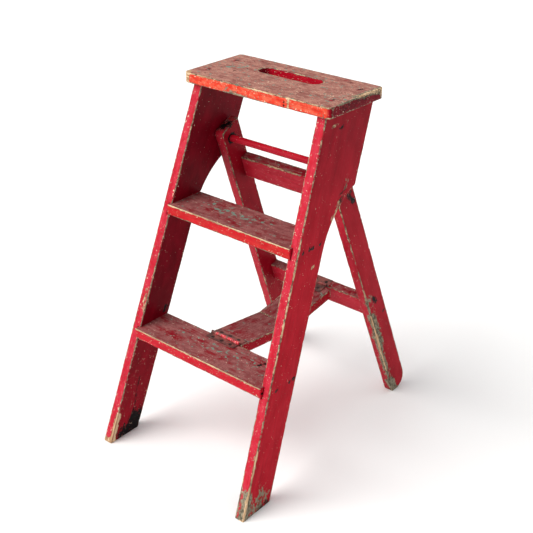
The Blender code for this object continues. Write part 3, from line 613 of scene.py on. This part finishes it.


# ---------------------------------------------------------------- wear, and painted light and shade, on each board

# Places where the wear differs and where shade is painted, by board: (kind, from, to, radius, strength) round
# a line
MARKS = {
    "stile_right": [
        ("grime_and_shade", (0.147, 0.030, 0.506), (0.148, 0.020, 0.478), 0.008, 0.50),
        ("rubbed", (0.1465, 0.041, 0.517), (0.147, 0.028, 0.488), 0.006, 0.62),
        ("bare", (0.147, 0.022, 0.486), (0.148, -0.004, 0.452), 0.006, 0.55),
        ("bare", (0.1517, -0.0588, 0.391), (0.1517, -0.058, 0.388), 0.004, 1.2),
        ("rubbed", (0.168, -0.225, 0.0), (0.168, -0.200, 0.030), 0.032, 0.60),
        ("bare", (0.168, -0.252, 0.0), (0.163, -0.210, 0.110), 0.008, 0.30),
        ("rubbed", (0.160, -0.250, 0.0), (0.158, -0.238, 0.040), 0.020, 0.6),
        ("bare", (0.160, -0.172, 0.21), (0.150, -0.087, 0.43), 0.006, 0.17),
        ("bare", (0.128, -0.050, 0.49), (0.127, -0.040, 0.55), 0.005, 0.25),
        ("grime_and_shade", (0.168, -0.215, 0.0), (0.168, -0.195, 0.004), 0.012, 0.42),
        ("bare", (0.141, 0.008, 0.608), (0.141, 0.008, 0.605), 0.003, 0.7),
        ("grime_and_shade", (0.142, 0.020, 0.603), (0.142, 0.020, 0.600), 0.0045, 0.6),
        ("bare", (0.144, -0.006, 0.549), (0.144, -0.006, 0.544), 0.003, 0.7),
        ("bare", (0.144, 0.017, 0.562), (0.144, 0.014, 0.542), 0.002, 0.5),
    ],
    "stile_left": [
        ("grime_and_shade", (-0.152, -0.215, 0.0), (-0.152, -0.185, 0.014), 0.040, 0.56),
        ("bare", (-0.168, -0.252, 0.0), (-0.153, -0.252, 0.0), 0.012, 0.8),
        ("grime_and_shade", (-0.152, -0.200, 0.030), (-0.147, -0.180, 0.110), 0.008, 0.34),
        ("grime_and_shade", (-0.141, -0.112, 0.222), (-0.141, -0.106, 0.232), 0.006, 0.55),
        ("bare", (-0.153, -0.252, 0.0), (-0.150, -0.232, 0.050), 0.008, 0.8),
        ("bare", (-0.147, -0.160, 0.24), (-0.146, -0.145, 0.28), 0.006, 0.5),
    ],
    "rear_leg_right": [
        ("bare", (0.129, 0.043, 0.440), (0.138, 0.112, 0.250), 0.006, 0.42),
        ("rubbed", (0.138, 0.133, 0.236), (0.149, 0.203, 0.030), 0.019, 0.70),
        ("bare", (0.140, 0.142, 0.200), (0.147, 0.191, 0.060), 0.009, 0.36),
        ("grime_and_shade", (0.138, 0.146, 0.238), (0.138, 0.154, 0.228), 0.009, 0.5),
        ("grime_and_shade", (0.128, 0.064, 0.470), (0.128, 0.081, 0.450), 0.009, 0.46),
        ("rubbed", (0.150, 0.225, 0.0), (0.150, 0.215, 0.020), 0.020, 0.8),
    ],
    "rear_leg_left": [
        # Dark grey split top of the leg, darkened further with a painted black shadow
        ("grime_and_shade", (-0.137, 0.012, 0.548), (-0.112, 0.030, 0.550), 0.020, 0.56),
        # Painted shade in the gap round the rod
        ("grime_and_shade", (-0.114, 0.038, 0.520), (-0.106, 0.038, 0.520), 0.015, 0.70),
        ("bare", (-0.118, 0.050, 0.470), (-0.122, 0.080, 0.380), 0.005, 0.3),
        ("rubbed", (-0.150, 0.225, 0.0), (-0.150, 0.215, 0.030), 0.025, 0.6),
    ],
    "top_board": [
        ("bare", (-0.150, -0.024, 0.642), (-0.152, -0.026, 0.630), 0.013, 1.0),
        ("rubbed", (0.153, 0.0, 0.645), (0.153, 0.115, 0.645), 0.010, 0.35),
        ("bare", (0.150, 0.060, 0.645), (0.153, 0.112, 0.641), 0.008, 0.5),
        ("bare", (0.118, 0.020, 0.645), (0.150, 0.050, 0.645), 0.009, 0.4),
        ("bare", (0.0728, -0.027, 0.644), (0.0728, -0.027, 0.628), 0.004, 0.9),
        ("grime_and_shade", (0.064, -0.027, 0.642), (0.064, -0.027, 0.628), 0.004, 0.45),
        ("flecked", (-0.02, 0.005, 0.645), (0.140, 0.008, 0.645), 0.032, 0.6),
        ("flecked", (0.120, 0.030, 0.645), (0.140, 0.100, 0.645), 0.030, 0.6),
        ("grime_and_shade", (0.153, -0.01, 0.636), (0.153, 0.11, 0.640), 0.010, 0.33),
        ("rubbed", (-0.060, -0.027, 0.634), (-0.020, -0.027, 0.628), 0.009, 0.6),
        ("light_and_shade", (-0.070, 0.086, 0.630), (0.045, 0.086, 0.630), 0.040, -1.35),
        ("grime_and_shade", (-0.062, 0.100, 0.634), (0.010, 0.100, 0.634), 0.014, 0.36),
        ("teal", (-0.115, 0.045, 0.645), (-0.095, 0.050, 0.645), 0.012, 0.5),
    ],
    "middle_tread": [
        # Painted shadow in the gaps at both ends of the step, inside the grooves
        ("grime_and_shade", (-0.1400, -0.2, 0.42), (-0.1400, 0.1, 0.42), 0.004, 2.0),
        ("grime_and_shade", (0.1400, -0.2, 0.42), (0.1400, 0.1, 0.42), 0.004, 2.0),
        ("bare", (0.130, -0.084, 0.430), (0.137, -0.084, 0.430), 0.007, 0.8),
        ("teal", (-0.080, -0.052, 0.43), (0.030, -0.055, 0.43), 0.022, 0.35),
    ],
    "lower_tread": [
        # Painted shadow in the gaps at both ends of the step, inside the grooves
        ("grime_and_shade", (-0.1500, -0.3, 0.205), (-0.1500, 0.0, 0.205), 0.004, 2.0),
        ("grime_and_shade", (0.1500, -0.3, 0.205), (0.1500, 0.0, 0.205), 0.004, 2.0),
        ("grime_and_shade", (0.096, -0.134, 0.215), (0.106, -0.118, 0.215), 0.005, 0.60),
        ("teal", (-0.030, -0.135, 0.215), (0.093, -0.140, 0.215), 0.020, 0.25),
    ],
}


# How each kind of board differs from a plain one: fading of its top ("fade"), wear of its upper front
# arris ("lip"), painted light and shade on each side as a tone (orange on fronts, partly painted front light
# and partly the paint's own; deep red as painted shade), how rosy its front is (partly a painted sheen of
# the front light), and how flecked it is all over and on its front
PLAIN = {"fade": 0.0, "lip": 0.0, "top": 0.0, "front": 0.0, "inward": 0.0, "outward": 0.0, "rosy_and_sheen": 0.0,
         "flecked": 0.1, "front_flecked": 0.3}
DIFFERENCES = {
    "top_board": {"fade": 1.0, "lip": 0.22, "top": -0.5, "front": 0.9, "outward": -0.75, "flecked": 0.35},
    "middle_tread": {"fade": 0.8, "lip": 0.40, "top": -0.8, "front": 0.18, "flecked": 0.3,
                     "front_flecked": 0.0},
    "lower_tread": {"fade": 0.75, "lip": 0.50, "top": -0.7, "front": 0.05, "rosy_and_sheen": 0.3, "flecked": 0.45},
    "stile": {"front": -0.12, "inward": -1.0, "outward": -0.15, "rosy_and_sheen": 1.0, "flecked": 0.0,
              "front_flecked": 0.75},
    "rear_leg": {"fade": 0.65, "top": -0.3, "front": -0.3, "inward": -0.7, "outward": -0.35, "rosy_and_sheen": 0.7},
    "pivot_rod": {"fade": 0.3, "front": -0.2, "rosy_and_sheen": 0.5},
    "rail": {"fade": 0.65, "lip": 0.1, "top": -0.8, "front": -0.2, "rosy_and_sheen": 0.8},
    "stay": {"fade": 0.7, "lip": 0.1, "top": -0.8, "front": -0.3, "inward": -0.3, "outward": -0.3,
             "flecked": 0.25},
}

LIP_DEPTH = 0.005                  # how far back from its front a board counts as lip
LOW_DOWN = 0.2                     # below this height the inner faces are more flecked
NAIL_DIRT = ("grime_and_shade", 0.006, 0.45)  # kind, radius and strength of the dirt round a nail


def line_distance(point, start, run):
    """How far a point is from a line given by its start and its run."""
    reach = min(1, max(0, (point - start).dot(run) / run.length_squared))
    return (point - start - run * reach).length


def marks_on(piece, name):
    """The marks of a piece and the dirt round its nails, as (kind, start, run, radius, strength)."""
    corners = [Vector(corner) for corner in piece.bound_box]
    low = [min(corner[i] for corner in corners) - 0.01 for i in range(3)]
    high = [max(corner[i] for corner in corners) + 0.01 for i in range(3)]
    marks = list(MARKS.get(name, ()))
    for node_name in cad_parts:
        if "nail" in node_name:
            start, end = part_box(node_name)
            if all(low[i] < (start[i] + end[i]) / 2 < high[i] for i in range(3)):
                kind, radius, strength = NAIL_DIRT
                marks.append((kind, start, end, radius, strength))
    return [(kind, Vector(start), Vector(end) - Vector(start), radius, strength)
            for kind, start, end, radius, strength in marks]


def wear_at(point, facing, looks, front_edge, marks):
    """How much of each kind of wear, and of painted light and shade, a place has, from the look of its board
    and the marks on it.
    """
    outwards = facing.x * math.copysign(1, point.x)
    sides = {"top": max(0, facing.z) ** 2, "front": max(0, -facing.y) ** 2,
             "outward": max(0, outwards) ** 2, "inward": max(0, -outwards) ** 2}
    # Painted light and shade: each side gets a deeper or a more orange red by the way it faces; inner faces
    # are painted lighter towards the floor, as the top board shades their upper parts, and outer faces deeper
    # red above 0.38 m
    light_and_shade = sum(looks[side] * amount for side, amount in sides.items())
    light_and_shade -= 0.5 * sides["outward"] * min(1, max(0, (point.z - 0.38) / 0.2))
    light_and_shade += 0.35 * sides["inward"] * max(0, 1 - point.z / 0.3)
    lip = 5 * sides["front"] * sides["top"] if point.y < front_edge + LIP_DEPTH else 0
    flecked = looks["flecked"] + looks["front_flecked"] * sides["front"]
    if point.z < LOW_DOWN:
        flecked += 0.5 * sides["inward"]
    # Rose on front faces is partly a painted sheen of the front light
    amounts = {"bare": looks["lip"] * min(1, lip), "grime_and_shade": 0.0, "fade": looks["fade"] * sides["top"],
               "light_and_shade": light_and_shade, "rubbed": 0.0, "flecked": flecked,
               "teal": 0.0, "rosy_and_sheen": looks["rosy_and_sheen"] * sides["front"]}
    for kind, start, run, radius, strength in marks:
        amounts[kind] += strength * max(0, 1 - (line_distance(point, start, run) / radius) ** 2)
    return amounts


def dress(piece, arrises, along, material):
    """Give a board its grain direction, its distance from the arrises, its wear, its painted light and shade,
    and its paint.
    """
    name = piece.name.removesuffix("_look")
    looks = PLAIN | next(look for kind, look in DIFFERENCES.items() if kind in name)
    mesh = piece.data
    tree = kdtree.KDTree(len(arrises))
    for i, point in enumerate(arrises):
        tree.insert(point, i)
    tree.balance()
    along = Vector(along).normalized()
    across = along.cross(Vector((0, 0, 1)) if abs(along.z) < 0.5 else Vector((1, 0, 0))).normalized()
    depth = along.cross(across)
    shift = Vector([metres * SEEDS[name] for metres in GRAIN_SHIFT])
    marks = marks_on(piece, name)
    front_edge = min(vertex.co.y for vertex in mesh.vertices)
    edge = []
    vectors = {"grain": [], "wear": [], "coat": [], "stain": []}
    for vertex, normal in zip(mesh.vertices, mesh.vertex_normals):
        point = vertex.co
        amounts = wear_at(point, normal.vector, looks, front_edge, marks)
        edge.append(max(0, tree.find(point)[2] - ARRIS * 0.6))
        vectors["grain"].extend(Vector((point.dot(along), point.dot(across), point.dot(depth))) + shift)
        vectors["wear"].extend((amounts["bare"], amounts["grime_and_shade"], amounts["fade"]))
        vectors["coat"].extend((amounts["light_and_shade"], amounts["rubbed"], amounts["flecked"]))
        vectors["stain"].extend((amounts["teal"], amounts["rosy_and_sheen"], 0.0))
    for key, values in vectors.items():
        mesh.attributes.new(key, "FLOAT_VECTOR", "POINT").data.foreach_set("vector", values)
    mesh.attributes.new("edge", "FLOAT", "POINT").data.foreach_set("value", edge)
    mesh.materials.clear()
    mesh.materials.append(material)
    mesh.shade_smooth()
    mesh.set_sharp_from_angle(angle=math.radians(50))


# ---------------------------------------------------------------- boards of the front frame

def housing(builder, side, top):
    """The groove for one end of a step, cut right across a stile's inner face."""
    middle = STILE_FRONT[0] + STILE_FRONT[1] * top
    low, high = top - STEP_THICKNESS - GAP, top + GAP
    section = ((low, HOUSING_DEPTH), (high, HOUSING_DEPTH), (high, -0.02), (low, -0.02))
    faces = []
    for y in (middle - 0.12, middle + 0.12):
        faces.append([(side * (stile_inner(z) + depth), y, z) for z, depth in section])
    skin(builder, faces)


def nail_dimples(prefix):
    """Shallow round holes over the nails whose names start with a prefix."""
    builder = bmesh.new()
    for name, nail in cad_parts.items():
        if not name.startswith(prefix) or "nail" not in name:
            continue
        low, high = (Vector(corner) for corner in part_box(name))
        middle = (low + high) / 2
        if name.startswith("top_"):
            cylinder(builder, (middle.x, middle.y, HEIGHT), (0, 0, 1), NAIL_HOLE_RADIUS,
                     -TOP_NAIL_DEPTH, 0.002)
            continue
        side = 1 if middle.x > 0 else -1
        outer = max(nail.data.vertices, key=lambda v: side * v.co.x).co
        heights = [v.co.z for v in nail.data.vertices if abs(v.co.x - outer.x) < 0.0005]
        place = (outer.x, middle.y, sum(heights) / len(heights))
        cylinder(builder, place, (side, 0, SPLAY), NAIL_HOLE_RADIUS, -SIDE_NAIL_DEPTH, 0.003)
    return builder


def build_stile(side_name, paint):
    """A side board of the front frame, with grooves for the steps and a blind hole for the rod."""
    side = SIDES[side_name]
    name = "stile_" + side_name
    notch = [EAR_NOTCH[1] + 0.0005 * i for i in range(-8, 8)] + [EAR_BOTTOM_Z]
    stations = side_board_stations(stile_outline(), side, stile_outer, stile_inner, notch)
    builder, arrises = loft(stations, "stile", SEEDS[name])
    piece = new_piece(name + "_look", builder, "front_frame", name)
    builder = bmesh.new()
    for top, _, _ in STEPS.values():
        housing(builder, side, top)
    cylinder(builder, (side * stile_inner(PIVOT[1]), *PIVOT), (side, 0, 0), ROD_RADIUS + ROD_SOCKET_PLAY,
             -0.02, ROD_SOCKET_DEPTH, 24)
    subtract(piece, builder)
    for step in STEPS:
        subtract(piece, nail_dimples(f"{step}_{side_name}"))
    dress(piece, arrises, (-side * SPLAY, STILE_FRONT[1], 1), paint)


def build_step(name, paint):
    """One of the two lower steps, its ends hidden in the grooves of the stiles."""
    top, front, back = STEPS[name]
    under = top - STEP_THICKNESS
    section = ((front, top), (back, top), (back, under), (front, under))
    ends = [[Vector((side * (stile_inner(z) + HOUSING_DEPTH - END_GAP), y, z)) for y, z in section]
            for side in (-1, 1)]
    length = (ends[1][0] - ends[0][0]).length
    builder, arrises = loft(between(*ends, length), "step", SEEDS[name], worn_ends=False)
    piece = new_piece(name + "_look", builder, "front_frame", name)
    dress(piece, arrises, (1, 0, 0), paint)


def build_top_board(paint):
    """The top step, with rounded corners, a hand slot and its nails."""
    low, high = (Vector(corner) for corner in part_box("top_board"))
    half, radius = high.x, TOP_CORNER_RADIUS
    curve = [half - radius + radius * math.sin(math.radians(a)) for a in range(0, 91, 10)]
    stations = []
    for distance in spaced(0, 2 * half, [half + x for x in curve] + [half - x for x in curve]):
        x = distance - half
        beyond = max(0, abs(x) - (half - radius))
        inset = radius - math.sqrt(max(0, radius ** 2 - beyond ** 2))
        inset = min(inset, radius * 0.98)
        y0, y1 = low.y + inset, high.y - inset
        stations.append((distance, [Vector((x, y0, high.z)), Vector((x, y1, high.z)),
                                    Vector((x, y1, low.z)), Vector((x, y0, low.z))]))
    builder, arrises = loft(stations, "top_board", SEEDS["top_board"])
    piece = new_piece("top_board_look", builder, "front_frame", "top_board")
    arrises += cut_hand_slot(piece)
    subtract(piece, nail_dimples("top_"))
    dress(piece, arrises, (1, 0, 0), paint)


def cut_hand_slot(piece):
    """The oblong hand slot with rounded lips; returns points along its arrises."""
    lip = SLOT_LIP
    low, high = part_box("top_board")[0][2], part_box("top_board")[1][2]
    levels = [(high + 0.003, lip)]
    levels += [(high - depth * lip, width * lip) for depth, width in LIP_PROFILE]
    levels += [(low + depth * lip, width * lip) for depth, width in reversed(LIP_PROFILE)]
    levels.append((low - 0.003, lip))
    reach = SLOT_HALF_LENGTH - SLOT_HALF_WIDTH
    builder = bmesh.new()
    arrises = []
    rings = []
    for z, offset in levels:
        radius = SLOT_HALF_WIDTH + offset
        outline = arc((reach, SLOT_CENTRE_Y), radius, -math.pi / 2, math.pi / 2, 14)
        outline += arc((-reach, SLOT_CENTRE_Y), radius, math.pi / 2, 3 * math.pi / 2, 14)
        rings.append([(x, y, z) for x, y in outline])
        if z in (low, high):
            for (x0, y0), (x1, y1) in zip(outline, outline[1:] + outline[:1]):
                steps = max(1, int(math.hypot(x1 - x0, y1 - y0) / STATION))
                arrises += [Vector((x0 + (x1 - x0) * i / steps, y0 + (y1 - y0) * i / steps, z))
                            for i in range(steps)]
    skin(builder, rings)
    subtract(piece, builder)
    return arrises


def build_rod(paint):
    """The round bar that the rear frame swings on."""
    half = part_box("pivot_rod")[1][0]
    builder = bmesh.new()
    angles = [2 * math.pi * i / ROD_SIDES for i in range(ROD_SIDES)]
    rings = []
    for distance in spaced(-half, half):
        radius = ROD_RADIUS * (1 + 0.02 * noise.noise(Vector((distance * 60, 1.5, 0))))
        rings.append([(distance, PIVOT[0] + radius * math.cos(angle), PIVOT[1] + radius * math.sin(angle))
                      for angle in angles])
    skin(builder, rings)
    piece = new_piece("pivot_rod_look", builder, "front_frame", "pivot_rod")
    ends = [Vector((side * half, *PIVOT)) for side in (-1, 1)]
    dress(piece, ends, (1, 0, 0), paint)


# ---------------------------------------------------------------- boards of the rear frame and the stay

def build_rear_leg(side_name, paint):
    """A leg of the rear frame, with the hole that it turns round the rod with."""
    side = SIDES[side_name]
    name = "rear_leg_" + side_name
    outline = rear_leg_outline()
    high = max(z for y, z in outline)
    extra = [high - 0.001 * i for i in range(24)] + [0.001 * i for i in range(1, 16)]
    stations = side_board_stations(outline, side, rear_leg_outer, rear_leg_inner, extra)
    builder, arrises = loft(stations, "rear_leg", SEEDS[name])
    piece = new_piece(name + "_look", builder, "rear_frame", name)
    builder = bmesh.new()
    cylinder(builder, (side * 0.08, *PIVOT), (side, 0, 0), REAR_LEG_BORE, 0, 0.08, 28)
    subtract(piece, builder)
    for rail in RAILS:
        subtract(piece, nail_dimples(f"{rail}_{side_name}"))
    dress(piece, arrises, (-side * SPLAY, -math.tan(LEAN), 1), paint)


def build_rail(name, paint):
    """A cross board between the rear legs; the lower one is notched for the rear hinge."""
    down, backward, height = RAILS[name]
    section = [on_rear_leg(down, backward), on_rear_leg(down, backward + RAIL_THICKNESS),
               on_rear_leg(down + height, backward + RAIL_THICKNESS), on_rear_leg(down + height, backward)]
    ends = [[Vector((side * (rear_leg_inner(z) - GAP), y, z)) for y, z in section] for side in (-1, 1)]
    length = (ends[1][0] - ends[0][0]).length
    builder, arrises = loft(between(*ends, length), "rail", SEEDS[name], end_round=0.0004, worn_ends=False)
    piece = new_piece(name + "_look", builder, "rear_frame", name)
    if name == "lower_rail":
        half, depth = RAIL_RECESS
        notch = ((-0.005, -depth), (0.03, -depth), (0.03, 0.005), (-0.005, 0.005))
        outline = [from_line(section[0], LEAN, along, above) for along, above in notch]
        builder = bmesh.new()
        skin(builder, [[(x, *point) for point in outline] for x in (-half, half)])
        subtract(piece, builder)
    dress(piece, arrises, (1, 0, 0), paint)


def stay_geometry():
    """Start, slope and length of the front stay board's top surface."""
    axis = (STEPS["lower_tread"][2] + FRONT_AXIS_GAP, STEPS["lower_tread"][0] + AXIS_HEIGHT)
    reach = (STAY_JOINT[0] - axis[0], STAY_JOINT[1] - axis[1])
    lift = math.asin(AXIS_HEIGHT / math.hypot(*reach))
    slope = math.atan2(reach[1], reach[0]) + lift
    return from_line(axis, slope, 0, -AXIS_HEIGHT), slope, math.hypot(*reach) * math.cos(lift)


def build_stay_boards(paint):
    """The two boards of the folding stay, which meet in a slanting joint."""
    origin, slope, length = stay_geometry()
    bevel = STAY_THICKNESS * math.tan((STAY_REAR_SLOPE - slope) / 2)
    build_stay_board("stay_front_board", "stay_front", origin, slope, (STAY_END_GAP, STAY_END_GAP),
                     (length - GAP, length + bevel - GAP), paint)
    build_stay_board("stay_rear_board", "stay_rear", STAY_JOINT, STAY_REAR_SLOPE, (GAP, GAP - bevel),
                     (STAY_REAR_LENGTH, STAY_REAR_LENGTH), paint)


def build_stay_board(name, body, origin, slope, start, end, paint):
    """A stay board between its ends, each given along the top surface and along the underside."""
    half = STAY_HALF_WIDTH
    ends = []
    for top, bottom in (start, end):
        upper = from_line(origin, slope, top, 0)
        lower = from_line(origin, slope, bottom, -STAY_THICKNESS)
        ends.append([Vector((-half, *upper)), Vector((half, *upper)),
                     Vector((half, *lower)), Vector((-half, *lower))])
    builder, arrises = loft(between(*ends, end[0] - start[0]), "stay", SEEDS[name], end_round=0.0005)
    piece = new_piece(name + "_look", builder, body, name)
    dress(piece, arrises, (0, math.cos(slope), math.sin(slope)), paint)


# ---------------------------------------------------------------- hinges and nails

def finish_metal():
    """Give the hinge leaves, pins, screws and nails their worn metal."""
    axes = {}
    for place in ("front", "middle", "rear"):
        low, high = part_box(place + "_hinge_pin")
        axes[place] = ((low[1] + high[1]) / 2, (low[2] + high[2]) / 2)
    hinges = {place: worn_hinge(place + "_hinge", axis, 1.0 if place == "front" else 0.15)
              for place, axis in axes.items()}
    iron = dull_iron()
    for name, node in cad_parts.items():
        place = name.split("_")[0]
        if "nail" in name or "screw" in name:
            material = iron
        elif "hinge" in name:
            material = hinges[place]
        else:
            continue
        for slot in node.material_slots:
            slot.material = material


# ---------------------------------------------------------------- stage

def build_stage():
    """A wide flat pale floor."""
    builder = bmesh.new()
    corners = ((-1, -1), (1, -1), (1, 1), (-1, 1))
    builder.faces.new([builder.verts.new((FLOOR_REACH * x, FLOOR_REACH * y, 0)) for x, y in corners])
    floor = new_piece("floor", builder, None, None)
    s = Shader("pale_floor")
    s.surface.inputs["Base Color"].default_value = (FLOOR_GREY, FLOOR_GREY, FLOOR_GREY, 1)
    s.surface.inputs["Roughness"].default_value = 0.9
    floor.data.materials.append(s.material)


def add_light(name, direction, spread, strength, colour):
    """A broad soft light from far away, spread over an angle in degrees."""
    light = bpy.data.lights.new(name, "SUN")
    light.angle = math.radians(spread)
    light.energy = strength
    light.color = colour
    lamp = bpy.data.objects.new(name, light)
    lamp.rotation_euler = Vector(direction).to_track_quat("Z", "Y").to_euler()
    bpy.context.scene.collection.objects.link(lamp)


def build_lights():
    """A warm light from the front left, a faint cool one from behind, and a white surround."""
    add_light("key", (-0.50, -0.72, 0.75), spread=52, strength=3.5, colour=(1.0, 0.99, 0.965))
    add_light("back", (0.3, 0.8, 0.5), spread=60, strength=0.5, colour=(0.96, 0.98, 1.0))
    world = bpy.data.worlds.new("studio")
    world.use_nodes = True
    background = world.node_tree.nodes["Background"]
    background.inputs["Color"].default_value = (1, 1, 1, 1)
    background.inputs["Strength"].default_value = WORLD_STRENGTH
    bpy.context.scene.world = world
    bpy.context.scene.view_settings.view_transform = "Standard"


def build_camera():
    """The camera, to the right of the stool and above it, rolled a little."""
    data = bpy.data.cameras.new("camera")
    data.sensor_width = 36
    data.lens = CAMERA_LENS
    data.shift_x, data.shift_y = CAMERA_SHIFT
    camera = bpy.data.objects.new("camera", data)
    place = Vector(CAMERA_PLACE)
    forward = (Vector(CAMERA_AIM) - place).normalized()
    right = forward.cross(Vector((0, 0, 1))).normalized()
    up = right.cross(forward)
    tilted_right = right * math.cos(CAMERA_ROLL) + up * math.sin(CAMERA_ROLL)
    tilted_up = up * math.cos(CAMERA_ROLL) - right * math.sin(CAMERA_ROLL)
    matrix = Matrix((tilted_right, tilted_up, -forward)).transposed().to_4x4()
    matrix.translation = place
    camera.matrix_world = matrix
    bpy.context.scene.collection.objects.link(camera)
    bpy.context.scene.camera = camera


# ---------------------------------------------------------------- everything together

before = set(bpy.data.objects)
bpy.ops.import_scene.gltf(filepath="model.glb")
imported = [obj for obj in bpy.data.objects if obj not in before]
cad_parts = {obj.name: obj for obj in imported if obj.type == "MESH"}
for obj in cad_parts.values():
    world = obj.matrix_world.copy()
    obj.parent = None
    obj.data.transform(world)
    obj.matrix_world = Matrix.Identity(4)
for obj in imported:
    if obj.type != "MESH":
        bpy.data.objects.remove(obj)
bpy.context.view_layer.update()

build_camera()
build_stage()
build_lights()

red = worn_red_paint()
for side_name in SIDES:
    build_stile(side_name, red)
    build_rear_leg(side_name, red)
for step_name in STEPS:
    build_step(step_name, red)
build_top_board(red)
build_rod(red)
for rail_name in RAILS:
    build_rail(rail_name, red)
build_stay_boards(red)
finish_metal()
